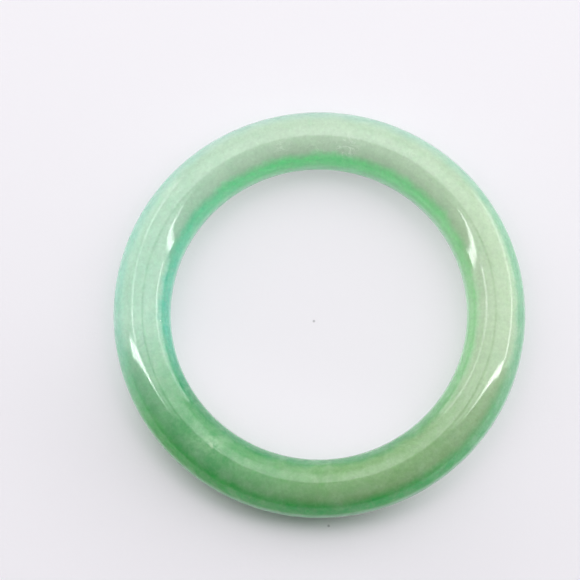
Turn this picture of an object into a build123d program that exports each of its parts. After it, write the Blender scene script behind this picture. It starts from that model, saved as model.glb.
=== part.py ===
from build123d import *
import os

# A one-piece bangle, cut and polished from a single block of stone.
# It lies flat on the XY plane with its axis along +Z. Sizes are in millimetres.

inner_diameter = 56.0    # the clear opening that the hand passes through
section_diameter = 11.2  # the thickness of the stone, the same all the way round

section_radius = section_diameter / 2
ring_radius = inner_diameter / 2 + section_radius  # from the axis to the middle of the stone

# The section is a full circle that touches z = 0, turned once about the axis.
with BuildPart() as stone_ring:
    with BuildSketch(Plane.XZ):
        with Locations((ring_radius, section_radius)):
            Circle(section_radius)
    revolve(axis=Axis.Z)

stone_ring.part.label = "stone_ring"

os.makedirs("parts", exist_ok=True)
export_step(stone_ring.part, "parts/stone_ring.step")

outer_diameter = inner_diameter + 2 * section_diameter
print(f"outer diameter {outer_diameter:.1f} mm, volume {stone_ring.part.volume / 1000:.2f} cm3")
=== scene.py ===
# A green stone bangle, polished all over, lying flat on a pale table under a soft light tent.
# Everything is in metres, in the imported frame: +Z up, the bangle's axis on Z, the table at z = 0.
import math

import bpy
from mathutils import Matrix, Vector, noise


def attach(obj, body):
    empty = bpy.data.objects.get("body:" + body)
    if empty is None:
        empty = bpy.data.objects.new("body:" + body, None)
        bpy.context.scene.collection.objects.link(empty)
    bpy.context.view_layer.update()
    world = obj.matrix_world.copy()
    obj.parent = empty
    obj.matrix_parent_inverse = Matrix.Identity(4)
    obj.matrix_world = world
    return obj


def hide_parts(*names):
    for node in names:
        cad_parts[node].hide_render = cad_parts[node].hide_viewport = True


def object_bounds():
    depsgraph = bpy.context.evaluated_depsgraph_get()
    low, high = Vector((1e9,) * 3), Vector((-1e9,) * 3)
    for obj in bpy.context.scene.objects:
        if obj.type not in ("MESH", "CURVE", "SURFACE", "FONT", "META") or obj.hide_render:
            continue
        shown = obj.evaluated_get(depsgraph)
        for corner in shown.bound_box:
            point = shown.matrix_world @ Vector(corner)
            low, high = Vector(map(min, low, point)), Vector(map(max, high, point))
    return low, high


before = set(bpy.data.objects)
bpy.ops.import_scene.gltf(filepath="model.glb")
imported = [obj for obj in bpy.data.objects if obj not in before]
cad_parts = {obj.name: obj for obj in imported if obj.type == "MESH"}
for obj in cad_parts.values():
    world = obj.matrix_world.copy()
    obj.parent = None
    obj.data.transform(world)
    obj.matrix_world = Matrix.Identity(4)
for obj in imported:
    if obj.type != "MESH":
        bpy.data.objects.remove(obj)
cadLow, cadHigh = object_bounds()
middle = (cadLow + cadHigh) / 2
stoneThickness = cadHigh.z - cadLow.z                        # top to bottom
stoneRadius = stoneThickness / 2
ringRadius = (cadHigh.x - cadLow.x - stoneThickness) / 2     # axis to the middle of the stone

cameraView = {
    "distance": 0.50,    # lens to the middle of the bangle
    "tilt": 10.8,        # degrees off straight down, standing back towards -Y
    "lens": 163.4,       # mm
    "sensor": 36,        # mm
    "across": -0.0502,   # shift, as shares of the frame's width
    "up": 0.039,
    "clip": (0.01, 50),
}


def aimAt(thing, target):
    thing.rotation_mode = "QUATERNION"
    thing.rotation_quaternion = (Vector(target) - thing.location).to_track_quat("-Z", "Y")


def placeCamera(v):
    data = bpy.data.cameras.new("camera")
    data.lens = v["lens"]
    data.sensor_width = v["sensor"]
    data.shift_x = v["across"]
    data.shift_y = v["up"]
    data.clip_start, data.clip_end = v["clip"]
    camera = bpy.data.objects.new("camera", data)
    bpy.context.scene.collection.objects.link(camera)
    tilt = math.radians(v["tilt"])
    camera.location = middle + v["distance"] * Vector((0, -math.sin(tilt), math.cos(tilt)))
    aimAt(camera, middle)
    bpy.context.scene.camera = camera


placeCamera(cameraView)


def newMaterial(name):
    material = bpy.data.materials.new(name)
    material.use_nodes = True
    nodes = material.node_tree.nodes
    nodes.clear()
    shader = nodes.new("ShaderNodeBsdfPrincipled")
    output = nodes.new("ShaderNodeOutputMaterial")
    material.node_tree.links.new(shader.outputs["BSDF"], output.inputs["Surface"])
    return material, shader


def newGroup(name, inputs, outputs):
    # inputs and outputs are (name, kind, value) with kind Float, Vector or Color
    group = bpy.data.node_groups.new(name, "ShaderNodeTree")
    for side, sockets in (("INPUT", inputs), ("OUTPUT", outputs)):
        for socketName, kind, value in sockets:
            socket = group.interface.new_socket(socketName, in_out=side,
                                                socket_type="NodeSocket" + kind)
            if value is not None:
                socket.default_value = value
    given = group.nodes.new("NodeGroupInput").outputs
    put = group.nodes.new("NodeGroupOutput").inputs
    return group, given, put


class Wiring:
    # short ways to add and join nodes in one tree
    def __init__(self, tree):
        self.tree = tree

    def give(self, socket, value):
        if isinstance(value, bpy.types.NodeSocket):
            self.tree.links.new(value, socket)
        elif value is not None:
            socket.default_value = value

    def node(self, kind, **settings):
        made = self.tree.nodes.new(kind)
        for key, value in settings.items():
            setattr(made, key, value)
        return made

    def math(self, operation, a, b=None, clamp=False):
        made = self.node("ShaderNodeMath", operation=operation, use_clamp=clamp)
        self.give(made.inputs[0], a)
        self.give(made.inputs[1], b)
        return made.outputs[0]

    def ease(self, value, low, high, start=0.0, end=1.0):
        # a soft step: start below low, end above high
        made = self.node("ShaderNodeMapRange", interpolation_type="SMOOTHSTEP")
        for socketName, given in (("Value", value), ("From Min", low), ("From Max", high),
                                  ("To Min", start), ("To Max", end)):
            self.give(made.inputs[socketName], given)
        return made.outputs["Result"]

    def blend(self, share, a, b, how="MIX"):
        made = self.node("ShaderNodeMix", data_type="RGBA", blend_type=how)
        self.give(made.inputs[0], share)
        self.give(made.inputs[6], a)
        self.give(made.inputs[7], b)
        return made.outputs[2]

    def clouds(self, place, scale, detail=2.0, roughness=0.5, distortion=0.0):
        made = self.node("ShaderNodeTexNoise")
        self.give(made.inputs["Vector"], place)
        for socketName, given in (("Scale", scale), ("Detail", detail), ("Roughness", roughness),
                                  ("Distortion", distortion)):
            self.give(made.inputs[socketName], given)
        return made.outputs["Fac"]

    def bump(self, shader, height, distance):
        made = self.node("ShaderNodeBump")
        self.give(made.inputs["Height"], height)
        self.give(made.inputs["Distance"], distance)
        self.give(shader.inputs["Normal"], made.outputs[0])

    def place(self, group, **values):
        made = self.node("ShaderNodeGroup", node_tree=group)
        for key, value in values.items():
            self.give(made.inputs[key], value)
        return made.outputs


def makeRingPlaceGroup():
    # where a point of the ring lies: how far round, and how far from the inner rim to the outer one
    group, given, put = newGroup(
        "ringPlace",
        [("Point", "Vector", None), ("Ring Radius", "Float", 0.03),
         ("Stone Radius", "Float", 0.005)],
        [("Around", "Float", None), ("Across", "Float", None)])
    w = Wiring(group)
    split = w.node("ShaderNodeSeparateXYZ")
    w.give(split.inputs[0], given["Point"])
    x, y = split.outputs["X"], split.outputs["Y"]
    turn = w.math("DIVIDE", w.math("ARCTAN2", y, x), 2 * math.pi)
    w.give(put["Around"], w.math("FRACT", w.math("ADD", turn, 1.0)))
    reach = w.math("SQRT", w.math("ADD", w.math("MULTIPLY", x, x), w.math("MULTIPLY", y, y)))
    w.give(put["Across"], w.math("DIVIDE", w.math("SUBTRACT", reach, given["Ring Radius"]),
                                 given["Stone Radius"]))
    return group


patchDetail = (3.0, 0.55)    # noise octaves, and the weight of each next one


def makeCloudGroup():
    # soft patches: 0 in clear stone, 1 in the middle of a patch
    group, given, put = newGroup(
        "stoneCloud",
        [("Point", "Vector", None), ("Size", "Float", 0.008), ("Cover", "Float", 0.5),
         ("Softness", "Float", 0.2), ("Twist", "Float", 0.5)],
        [("Mask", "Float", None)])
    w = Wiring(group)
    perMetre = w.math("DIVIDE", 1.0, given["Size"])
    patch = w.clouds(given["Point"], perMetre, *patchDetail, given["Twist"])
    edge = w.math("SUBTRACT", 1.0, given["Cover"])
    w.give(put["Mask"], w.ease(patch, w.math("SUBTRACT", edge, given["Softness"]),
                               w.math("ADD", edge, given["Softness"])))
    return group


def makeGrainGroup():
    # the sugary grain of fine quartz: light and dark crystals round a middle value of 1
    crystalShare, fineShare = 0.4, 1.2
    fineDetail = (2.0, 0.6)
    group, given, put = newGroup(
        "stoneGrain",
        [("Point", "Vector", None), ("Crystal", "Float", 0.0004), ("Depth", "Float", 0.1)],
        [("Shade", "Float", None)])
    w = Wiring(group)
    crystals = w.node("ShaderNodeTexVoronoi", feature="F1")
    w.give(crystals.inputs["Vector"], given["Point"])
    w.give(crystals.inputs["Scale"], w.math("DIVIDE", 1.0, given["Crystal"]))
    split = w.node("ShaderNodeSeparateColor")
    w.give(split.inputs[0], crystals.outputs["Color"])
    fine = w.clouds(given["Point"], w.math("DIVIDE", 0.6, given["Crystal"]), *fineDetail)
    both = w.math("ADD", w.math("MULTIPLY", split.outputs[0], crystalShare),
                  w.math("MULTIPLY", fine, fineShare))
    swing = w.math("SUBTRACT", both, (crystalShare + fineShare) / 2)
    w.give(put["Shade"], w.math("ADD", 1.0, w.math("MULTIPLY", swing, given["Depth"])))
    return group


def makeVeinGroup():
    # thin pale threads that wander through the stone: 1 on a thread
    group, given, put = newGroup(
        "stoneVein",
        [("Point", "Vector", None), ("Size", "Float", 0.004), ("Fineness", "Float", 0.03),
         ("Twist", "Float", 0.5)],
        [("Mask", "Float", None)])
    w = Wiring(group)
    perMetre = w.math("DIVIDE", 1.0, given["Size"])
    drift = w.clouds(given["Point"], perMetre, *patchDetail, given["Twist"])
    off = w.math("ABSOLUTE", w.math("SUBTRACT", drift, 0.5))
    w.give(put["Mask"], w.ease(off, 0.0, given["Fineness"], 1.0, 0.0))
    return group


def makeSpeckGroup():
    # a few round specks scattered at random: 1 inside a speck
    smallest = 0.4    # share of the given size
    group, given, put = newGroup(
        "speck",
        [("Point", "Vector", None), ("Spacing", "Float", 0.004), ("Size", "Float", 0.0002),
         ("Keep", "Float", 0.2)],
        [("Mask", "Float", None)])
    w = Wiring(group)
    spots = w.node("ShaderNodeTexVoronoi", feature="F1")
    w.give(spots.inputs["Vector"], given["Point"])
    w.give(spots.inputs["Scale"], w.math("DIVIDE", 1.0, given["Spacing"]))
    split = w.node("ShaderNodeSeparateColor")
    w.give(split.inputs[0], spots.outputs["Color"])
    kept = w.math("LESS_THAN", split.outputs[0], given["Keep"])
    size = w.math("MULTIPLY", w.math("DIVIDE", given["Size"], given["Spacing"]),
                  w.math("ADD", split.outputs[1], smallest))
    inside = w.ease(spots.outputs["Distance"], w.math("MULTIPLY", size, 0.5), size, 1.0, 0.0)
    w.give(put["Mask"], w.math("MULTIPLY", kept, inside))
    return group


speckGroup = makeSpeckGroup()

stoneRing = {
    "around": 360,        # facets round the ring
    "section": 120,       # facets round the stone's section
    "thinner": 0.00012,   # by this much the hand-ground stone is thinner on its thin side
    "thickSide": 25,      # degrees from +X to the thickest place
    "waviness": 0.000008,   # the wheel leaves very shallow waves
    "waveLength": 0.009,
}


def sectionRadius(angle, r):
    ease = (1 - math.cos(angle - math.radians(r["thickSide"]))) / 2
    return stoneRadius - r["thinner"] * ease - 2 * r["waviness"]


def buildStoneRing(r):
    points, faces = [], []
    around, section = r["around"], r["section"]
    for i in range(around):
        angle = 2 * math.pi * i / around
        outwards = Vector((math.cos(angle), math.sin(angle), 0))
        for j in range(section):
            turn = 2 * math.pi * j / section
            normal = outwards * math.cos(turn) + Vector((0, 0, math.sin(turn)))
            centre = outwards * ringRadius + Vector((0, 0, middle.z))
            wave = noise.noise((centre + normal * stoneRadius) / r["waveLength"])
            reach = sectionRadius(angle, r) + wave * r["waviness"]
            points.append(centre + normal * reach)
    for i in range(around):
        for j in range(section):
            here, after = i * section, ((i + 1) % around) * section
            following = (j + 1) % section
            faces.append((here + j, after + j, after + following, here + following))
    mesh = bpy.data.meshes.new("stone_ring_polished")
    mesh.from_pydata(points, [], faces)
    mesh.update()
    mesh.polygons.foreach_set("use_smooth", [True] * len(mesh.polygons))
    ring = bpy.data.objects.new("stone_ring_polished", mesh)
    bpy.context.scene.collection.objects.link(ring)
    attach(ring, "root")
    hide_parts("stone_ring")
    return ring


# The stone's colour at places round the ring, going from +X towards +Y: how far round,
# then the inner rim, the body and the outer rim. Partly the stone's own colour and partly
# painted shade: palest at the back, towards the light, and deepest green at the front, away from
# it.
stoneColorsWithPaintedShade = {
    "right": (0.0, (0.35, 0.70, 0.35), (0.45, 0.60, 0.40), (0.25, 0.55, 0.35)),
    "back": (0.25, (0.25, 0.90, 0.40), (0.50, 0.65, 0.50), (0.35, 0.55, 0.45)),
    "left": (0.5, (0.15, 0.60, 0.45), (0.40, 0.65, 0.50), (0.35, 0.70, 0.55)),
    "frontLeft": (0.62, (0.02, 0.30, 0.10), (0.10, 0.40, 0.15), (0.02, 0.45, 0.05)),
    "front": (0.80, (0.10, 0.35, 0.15), (0.25, 0.45, 0.20), (0.02, 0.50, 0.10)),
}
greenStone = {
    # shares of the stone's radius where each rim's colour begins and is full; the rims' deeper
    # green is painted in for light passing through the stone's thickness
    "innerRim": (0.50, 0.82),
    "outerRim": (0.45, 0.85),
    "rimWander": {"size": 0.0035, "amount": 0.16, "detail": (4.0, 0.6)},   # uneven borders
    # a thin pale line painted along both rims as a rim highlight, in shares of the stone's radius
    "paintedRimGlow": {"from": 0.90, "to": 0.985, "share": 0.36, "color": (0.72, 0.98, 0.84, 1)},
    "light": (0.010, 0.011, 0.010),   # how far red, green and blue light travel inside, in metres
    "ior": 1.62,
    "rimLight": {"weight": 0.45, "roughness": 0.15, "tint": (0.90, 1.0, 0.96, 1)},   # a faint sheen
    # soft patches through the whole stone, from the first laid to the last
    "mottle": {
        "deep": {"size": 0.005, "cover": 0.36, "softness": 0.20, "twist": 1.2, "strength": 0.13,
                 "color": (0.10, 0.42, 0.20, 1)},
        "cloud": {"size": 0.007, "cover": 0.42, "softness": 0.22, "twist": 0.8, "strength": 0.14,
                  "color": (0.72, 0.84, 0.70, 1)},
        "haze": {"size": 0.0022, "cover": 0.45, "softness": 0.20, "twist": 0.3, "strength": 0.12,
                 "color": (0.62, 0.74, 0.58, 1)},
    },
    "grain": {"crystal": 0.00045, "depth": 0.17},
    # single soft patches: degrees from +X, share of the stone's radius outwards, size, strength
    "patches": ((233, -0.16, 0.0018, 0.60), (232, -0.20, 0.0045, 0.26),
                (228, 0.15, 0.0040, 0.16), (246, -0.05, 0.0050, 0.12)),
    "patchBreak": {"perMetre": 900, "detail": (2.0, 0.6), "range": (0.30, 0.62)},   # ragged
    "patchColor": (0.62, 0.80, 0.55, 1),
    # where white threads show: degrees from +X, share outwards, size of the area, strength
    "threads": ((80.5, -0.38, 0.0036, 0.50), (91, -0.45, 0.0030, 0.22),
                (103, -0.30, 0.0034, 0.26), (60, 0.10, 0.0040, 0.10), (141, -0.20, 0.0040, 0.10)),
    "thread": {"size": 0.0022, "fineness": 0.050, "twist": 1.5, "color": (0.86, 0.93, 0.84, 1)},
    "faintThreads": 0.035,    # their strength everywhere else
    "specks": {"spacing": 0.0030, "size": 0.00024, "keep": 0.10, "strength": 0.7,
               "color": (0.88, 0.95, 0.88, 1)},
    "polish": {"size": 0.0011, "detail": (3.0, 0.6), "range": (0.3, 0.7),
               "roughness": (0.035, 0.085), "depth": 0.000004},
    "pits": {"spacing": 0.0034, "size": 0.00012, "keep": 0.12, "depth": 0.00002},
}


def colorRound(w, around, zone):
    # a ramp round the ring through the stone's colours with their painted shade, closed on itself
    ramp = w.node("ShaderNodeValToRGB")
    ramp.color_ramp.interpolation = "EASE"
    stops = [(place[0], place[zone]) for place in stoneColorsWithPaintedShade.values()]
    stops.append((1.0, stops[0][1]))
    while len(ramp.color_ramp.elements) < len(stops):
        ramp.color_ramp.elements.new(0.5)
    for element, (position, color) in zip(ramp.color_ramp.elements, stops):
        element.position = position
        element.color = (*color, 1)
    w.give(ramp.inputs[0], around)
    return ramp.outputs[0]


def onRing(degrees, outwards):
    # a point on the upper face of the stone
    angle = math.radians(degrees)
    reach = ringRadius + outwards * stoneRadius
    return Vector((reach * math.cos(angle), reach * math.sin(angle),
                   middle.z + stoneRadius * math.sqrt(1 - outwards ** 2)))


def softSpots(w, point, spots):
    # one mask for a list of soft round spots
    total = None
    for degrees, outwards, size, strength in spots:
        far = w.node("ShaderNodeVectorMath", operation="DISTANCE")
        w.give(far.inputs[0], point)
        far.inputs[1].default_value = onRing(degrees, outwards)
        spot = w.ease(far.outputs["Value"], 0.0, size, strength, 0.0)
        total = spot if total is None else w.math("MAXIMUM", total, spot)
    return total


def greenStoneMaterial(g):
    material, shader = newMaterial("greenStone")
    w = Wiring(material.node_tree)
    point = w.node("ShaderNodeTexCoord").outputs["Object"]
    where = w.place(makeRingPlaceGroup(), **{"Point": point, "Ring Radius": ringRadius,
                                             "Stone Radius": stoneRadius})
    around, across = where["Around"], where["Across"]
    r = g["rimWander"]
    wander = w.math("SUBTRACT", w.clouds(point, 1 / r["size"], *r["detail"]), 0.5)
    wander = w.math("MULTIPLY", wander, r["amount"] * 2)
    # both rims take a deeper green here, painted in for light passing through the stone's thickness
    inner = w.ease(w.math("SUBTRACT", wander, across), *g["innerRim"])
    outer = w.ease(w.math("ADD", across, wander), *g["outerRim"])
    color = w.blend(inner, colorRound(w, around, 2), colorRound(w, around, 1))
    color = w.blend(outer, color, colorRound(w, around, 3))
    e = g["paintedRimGlow"]
    edge = w.ease(w.math("ABSOLUTE", across), e["from"], e["to"], 0.0, e["share"])

    cloud = makeCloudGroup()
    for patch in g["mottle"].values():
        mask = w.place(cloud, **{"Point": point, "Size": patch["size"], "Cover": patch["cover"],
                                 "Softness": patch["softness"], "Twist": patch["twist"]})["Mask"]
        color = w.blend(w.math("MULTIPLY", mask, patch["strength"]), color, patch["color"])

    b = g["patchBreak"]
    ragged = w.ease(w.clouds(point, b["perMetre"], *b["detail"]), *b["range"])
    patches = w.math("MULTIPLY", softSpots(w, point, g["patches"]), ragged)
    color = w.blend(patches, color, g["patchColor"])
    t = g["thread"]
    thread = w.place(makeVeinGroup(), **{"Point": point, "Size": t["size"],
                                         "Fineness": t["fineness"], "Twist": t["twist"]})["Mask"]
    strength = w.math("ADD", softSpots(w, point, g["threads"]), g["faintThreads"])
    color = w.blend(w.math("MULTIPLY", thread, strength), color, t["color"])
    s = g["specks"]
    speck = w.place(speckGroup, **{"Point": point, "Spacing": s["spacing"], "Size": s["size"],
                                   "Keep": s["keep"]})["Mask"]
    color = w.blend(w.math("MULTIPLY", speck, s["strength"]), color, s["color"])
    shade = w.place(makeGrainGroup(), **{"Point": point, "Crystal": g["grain"]["crystal"],
                                         "Depth": g["grain"]["depth"]})["Shade"]
    color = w.blend(1.0, color, w.blend(1.0, (1, 1, 1, 1), shade, "MULTIPLY"), "MULTIPLY")
    # the pale line along both rims is a painted rim highlight
    w.give(shader.inputs["Base Color"], w.blend(edge, color, e["color"]))

    polish, pits = g["polish"], g["pits"]
    rub = w.clouds(point, 1 / polish["size"], *polish["detail"])
    w.give(shader.inputs["Roughness"], w.ease(rub, *polish["range"], *polish["roughness"]))
    pit = w.place(speckGroup, **{"Point": point, "Spacing": pits["spacing"], "Size": pits["size"],
                                 "Keep": pits["keep"]})["Mask"]
    waves = w.math("MULTIPLY", rub, polish["depth"] / pits["depth"])
    w.bump(shader, w.math("SUBTRACT", waves, pit), pits["depth"])

    shader.subsurface_method = "RANDOM_WALK"
    shader.inputs["Subsurface Weight"].default_value = 1
    shader.inputs["Subsurface Radius"].default_value = g["light"]
    shader.inputs["Subsurface Scale"].default_value = 1
    shader.inputs["IOR"].default_value = g["ior"]
    shader.inputs["Sheen Weight"].default_value = g["rimLight"]["weight"]
    shader.inputs["Sheen Roughness"].default_value = g["rimLight"]["roughness"]
    shader.inputs["Sheen Tint"].default_value = g["rimLight"]["tint"]
    return material


ring = buildStoneRing(stoneRing)
ring.data.materials.append(greenStoneMaterial(greenStone))
print("stone ring built:", len(ring.data.polygons), "faces")

table = {
    "size": 6.0,
    "color": (0.90, 0.875, 0.92),
    "roughness": (0.50, 0.68),
    "plainColor": (0.93, 0.905, 0.952),   # of its share that takes no shadow
    "innerShare": (0.46, 0.79),           # how large that share is inside the ring, back and front
    "innerEdge": (0.004, 0.028),          # how far towards the deep side the inner share changes
    "outerShare": 0.50,                   # and outside the ring
    "shareEdge": (0.026, 0.042),          # how far out the inner share gives way to the outer one
    "deepSide": 252,                      # degrees from +X to the side where the shadow is deepest
    "deepEdge": (0.013, 0.0420),          # how far out on that side it begins and is deepest
    "deepReach": (0.0385, 0.0435),        # where its dark core fades
    "softShare": 0.5,                     # what is left there
    "softReach": (0.045, 0.075),          # where the rest fades
    "farReach": (0.12, 0.40),             # beyond this the whole table is plain
    # where light through the stone tints the table, between the ring's inside and its outside
    "glow": {"from": (0.0245, 0.0285), "to": (0.0395, 0.0430), "color": (0.975, 1.0, 0.985, 1)},
    "paper": {"size": 0.0006, "detail": (4.0, 0.6), "range": (0.2, 0.8), "depth": 0.00002,
              "tone": 0.012},
    "dust": {"spacing": 0.021, "size": 0.00020, "keep": 0.16, "color": (0.62, 0.62, 0.63, 1)},
    "crumbs": ((-0.0010, -0.0006, 0), (0.0018, -0.0400, 0)),    # two larger ones, where they lie
    "crumbSize": 0.00035,
}


def tableMaterial(t):
    material, shader = newMaterial("paleTable")
    w = Wiring(material.node_tree)
    point = w.node("ShaderNodeTexCoord").outputs["Object"]
    reach = w.node("ShaderNodeVectorMath", operation="LENGTH")
    w.give(reach.inputs[0], point)
    reach = reach.outputs["Value"]

    g, p, d = t["glow"], t["paper"], t["dust"]
    near = w.math("MULTIPLY", w.ease(reach, *g["from"]), w.ease(reach, *g["to"], 1.0, 0.0))
    tint = w.blend(near, (1, 1, 1, 1), g["color"])
    paper = w.clouds(point, 1 / p["size"], *p["detail"])
    tone = w.math("ADD", 1.0, w.math("MULTIPLY", w.math("SUBTRACT", paper, 0.5), p["tone"]))
    tint = w.blend(1.0, tint, w.blend(1.0, (1, 1, 1, 1), tone, "MULTIPLY"), "MULTIPLY")
    dust = w.place(speckGroup, **{"Point": point, "Spacing": d["spacing"], "Size": d["size"],
                                  "Keep": d["keep"]})["Mask"]
    for crumb in t["crumbs"]:
        far = w.node("ShaderNodeVectorMath", operation="DISTANCE")
        w.give(far.inputs[0], point)
        far.inputs[1].default_value = crumb
        size = t["crumbSize"]
        dust = w.math("MAXIMUM", dust, w.ease(far.outputs["Value"], size / 3, size, 1.0, 0.0))
    tint = w.blend(dust, tint, d["color"])
    w.give(shader.inputs["Base Color"], w.blend(1.0, (*t["color"], 1), tint, "MULTIPLY"))
    w.give(shader.inputs["Roughness"], w.ease(paper, *p["range"], *t["roughness"]))
    shader.inputs["Specular IOR Level"].default_value = 0
    w.bump(shader, paper, p["depth"])

    # painted light: unlit table colour shown to camera and glossy rays, lightening the table's
    # shadow unevenly, least on the deep side in front
    plain = w.node("ShaderNodeEmission")
    w.give(plain.inputs["Color"], w.blend(1.0, (*t["plainColor"], 1), tint, "MULTIPLY"))
    towards = w.node("ShaderNodeVectorMath", operation="DOT_PRODUCT")
    w.give(towards.inputs[0], point)
    side = math.radians(t["deepSide"])
    towards.inputs[1].default_value = (math.cos(side), math.sin(side), 0)
    towards = towards.outputs["Value"]
    fade = w.math("MULTIPLY", w.ease(reach, *t["deepReach"], 1.0, t["softShare"]),
                  w.ease(reach, *t["softReach"], 1.0, 0.0))
    deep = w.math("MULTIPLY", w.ease(towards, *t["deepEdge"]), fade)
    inner = w.ease(towards, *t["innerEdge"], *t["innerShare"])
    share = w.math("MULTIPLY", w.ease(reach, *t["shareEdge"], inner, t["outerShare"]),
                   w.math("SUBTRACT", 1.0, deep))
    share = w.math("MAXIMUM", share, w.ease(reach, *t["farReach"]))
    path = w.node("ShaderNodeLightPath").outputs
    plainRays = w.math("MAXIMUM", path["Is Camera Ray"], path["Is Glossy Ray"])
    both = w.node("ShaderNodeMixShader")
    w.give(both.inputs[0], w.math("MULTIPLY", plainRays, share))
    w.give(both.inputs[1], shader.outputs["BSDF"])
    w.give(both.inputs[2], plain.outputs[0])
    w.give(material.node_tree.nodes["Material Output"].inputs["Surface"], both.outputs[0])
    return material


def layTable(t):
    half = t["size"] / 2
    mesh = bpy.data.meshes.new("table")
    corners = [(-half, -half, 0), (half, -half, 0), (half, half, 0), (-half, half, 0)]
    mesh.from_pydata(corners, [], [(0, 1, 2, 3)])
    plate = bpy.data.objects.new("table", mesh)
    bpy.context.scene.collection.objects.link(plate)
    mesh.materials.append(tableMaterial(t))


layTable(table)

# A small tent, open towards -Y. Brightness is in units of a white surface in plain light.
tent = {
    "roof": 0.50,         # height over the table
    "left": -0.50,        # side walls
    "right": 0.60,
    "back": 0.60,         # back wall
    "front": -0.60,       # where the dim part of the roof ends
    "leftFront": -0.025,  # where the side walls begin
    "rightFront": -0.085,
    # the opening's edge in the roof, lifted in the middle, as (x, y)
    "opening": ((-0.50, -0.045), (-0.22, -0.012), (-0.11, 0.015), (-0.05, 0.050), (0.0, 0.100),
                (0.05, 0.038), (0.11, 0.002), (0.22, -0.040), (0.60, -0.090)),
    "openingSoft": 0.018,       # the depth of its blur
    "roofGlow": (2.52, 1.10),   # at the front and at the back wall
    "roofLean": (0.94, 1.06),   # factors at its left and right
    "frontGlow": 0.24,          # of the dim part
    "backGlow": 0.34,
    "leftGlow": 1.55,
    "rightGlow": 1.90,
}
# Bright strips and seams of the tent, each from one end to the other, with its widths there
# and its brightness at the first end. They show in the polish and give no diffuse light.
strips = {
    "leftStrip": ((-0.095, -0.007, 0.050), (-0.260, 0.004, 0.950), (0.017, 0.034), 10),
    "rightStrip": ((0.124, -0.021, 0.075), (0.262, -0.018, 0.950), (0.017, 0.034), 10),
    "leftSeam": ((-0.48, 0.03, 0.70), (-0.74, 0.52, 0.70), (0.12, 0.15), 3.4),
    "leftSeamFar": ((-0.74, 0.52, 0.70), (-1.17, 1.62, 0.70), (0.15, 0.26), 2.6),
    "rightSeam": ((0.74, -0.06, 0.50), (1.20, 0.60, 0.50), (0.14, 0.20), 4.5),
    "rightSeamFar": ((1.20, 0.60, 0.50), (2.60, 2.60, 0.35), (0.20, 0.45), 2.3),
}
stripEnd = 0.5           # the share of the brightness that is left at the second end
stripSides = (0.3, 1.0)  # shares of the half width where a strip begins to fade and is gone


def panel(name, centre, facing, along, wide, deep, brightness, shape=None):
    # shape makes a lamp's own pattern from how far along and how far across it a point lies
    data = bpy.data.lights.new(name, "AREA")
    data.shape = "RECTANGLE"
    data.size, data.size_y = wide, deep
    data.energy = brightness * math.pi * wide * deep
    if shape:
        data.use_nodes = True
        w = Wiring(data.node_tree)
        split = w.node("ShaderNodeSeparateXYZ")
        w.give(split.inputs[0], w.node("ShaderNodeNewGeometry").outputs["Parametric"])
        w.give(data.node_tree.nodes["Emission"].inputs["Strength"],
               shape(w, split.outputs[0], split.outputs[1]))
    lamp = bpy.data.objects.new(name, data)
    bpy.context.scene.collection.objects.link(lamp)
    side = Vector(along).normalized()
    back = (side * side.dot(Vector(facing)) - Vector(facing)).normalized()
    turn = Matrix((side, back.cross(side), back)).transposed().to_4x4()
    lamp.matrix_world = Matrix.Translation(Vector(centre)) @ turn
    lamp.visible_camera = False
    return lamp


def roofShape(t):
    front = min(y for x, y in t["opening"]) - t["openingSoft"]
    wide, deep = t["right"] - t["left"], t["back"] - front

    def shape(w, along, across):
        curve = w.node("ShaderNodeFloatCurve")
        points = curve.mapping.curves[0].points
        places = [((x - t["left"]) / wide, (y - front) / deep) for x, y in t["opening"]]
        points[0].location, points[-1].location = places[0], places[-1]
        for place in places[1:-1]:
            points.new(*place)
        curve.mapping.update()
        w.give(curve.inputs["Value"], along)
        past = w.math("SUBTRACT", across, curve.outputs[0])
        inside = w.math("DIVIDE", past, t["openingSoft"] / deep, clamp=True)
        near, far = t["roofGlow"]
        left, right = t["roofLean"]
        glow = w.math("ADD", near, w.math("MULTIPLY", across, far - near))
        lean = w.math("ADD", left, w.math("MULTIPLY", along, right - left))
        dim = w.math("MULTIPLY", w.math("SUBTRACT", 1.0, inside), t["frontGlow"])
        bright = w.math("MULTIPLY", inside, w.math("MULTIPLY", glow, lean))
        return w.math("ADD", dim, bright)

    return front, wide, deep, shape


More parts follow.
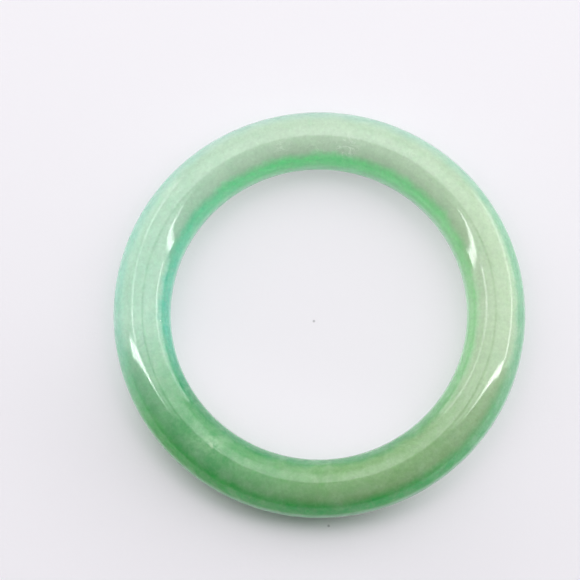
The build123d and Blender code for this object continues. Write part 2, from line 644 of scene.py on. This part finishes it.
def lightTent(t):
    front, wide, deep, shape = roofShape(t)
    midX = (t["right"] + t["left"]) / 2
    h = t["roof"]
    panel("roof", (midX, front + deep / 2, h), (0, 0, -1), (1, 0, 0), wide, deep, 1, shape)
    frontDeep = front - t["front"]
    panel("frontRoof", (midX, front - frontDeep / 2, h), (0, 0, -1), (1, 0, 0), wide, frontDeep,
          t["frontGlow"])
    panel("backWall", (midX, t["back"], h / 2), (0, -1, 0), (1, 0, 0), wide, h, t["backGlow"])
    for side, facing in (("left", 1), ("right", -1)):
        start = t[side + "Front"]
        panel(side + "Wall", (t[side], (t["back"] + start) / 2, h / 2), (facing, 0, 0), (0, 1, 0),
              t["back"] - start, h, t[side + "Glow"])


def stripShape(low, high, highShare):
    # its width changes evenly from end to end, and its sides are soft
    widest = max(low, high)

    def shape(w, along, across):
        half = w.math("ADD", low / widest, w.math("MULTIPLY", along, (high - low) / widest))
        off = w.math("ABSOLUTE", w.math("SUBTRACT", w.math("MULTIPLY", across, 2.0), 1.0))
        soft = w.ease(w.math("DIVIDE", off, half), *stripSides, 1.0, 0.0)
        return w.math("MULTIPLY", soft, w.ease(along, 0.0, 1.0, 1.0, highShare))

    return shape


def hangStrips(given):
    for name, (start, end, widths, brightness) in given.items():
        start, end = Vector(start), Vector(end)
        centre = (start + end) / 2
        along = end - start
        lamp = panel(name, centre, middle - centre, along, along.length, max(widths), brightness,
                     stripShape(*widths, stripEnd))
        lamp.visible_diffuse = False


# the room beyond the table: how bright it looks, and how much light it gives
room = {"color": (0.97, 0.98, 1.0), "seen": 0.92, "glow": 0.06}


def lightRoom(r):
    world = bpy.data.worlds.new("room")
    world.use_nodes = True
    bpy.context.scene.world = world
    w = Wiring(world.node_tree)
    background = world.node_tree.nodes["Background"]
    background.inputs["Color"].default_value = (*r["color"], 1)
    seen = w.node("ShaderNodeLightPath").outputs["Is Camera Ray"]
    strength = w.math("ADD", w.math("MULTIPLY", seen, r["seen"] - r["glow"]), r["glow"])
    w.give(background.inputs["Strength"], strength)


lightTent(tent)
hangStrips(strips)
lightRoom(room)
bpy.context.scene.view_settings.view_transform = "Standard"
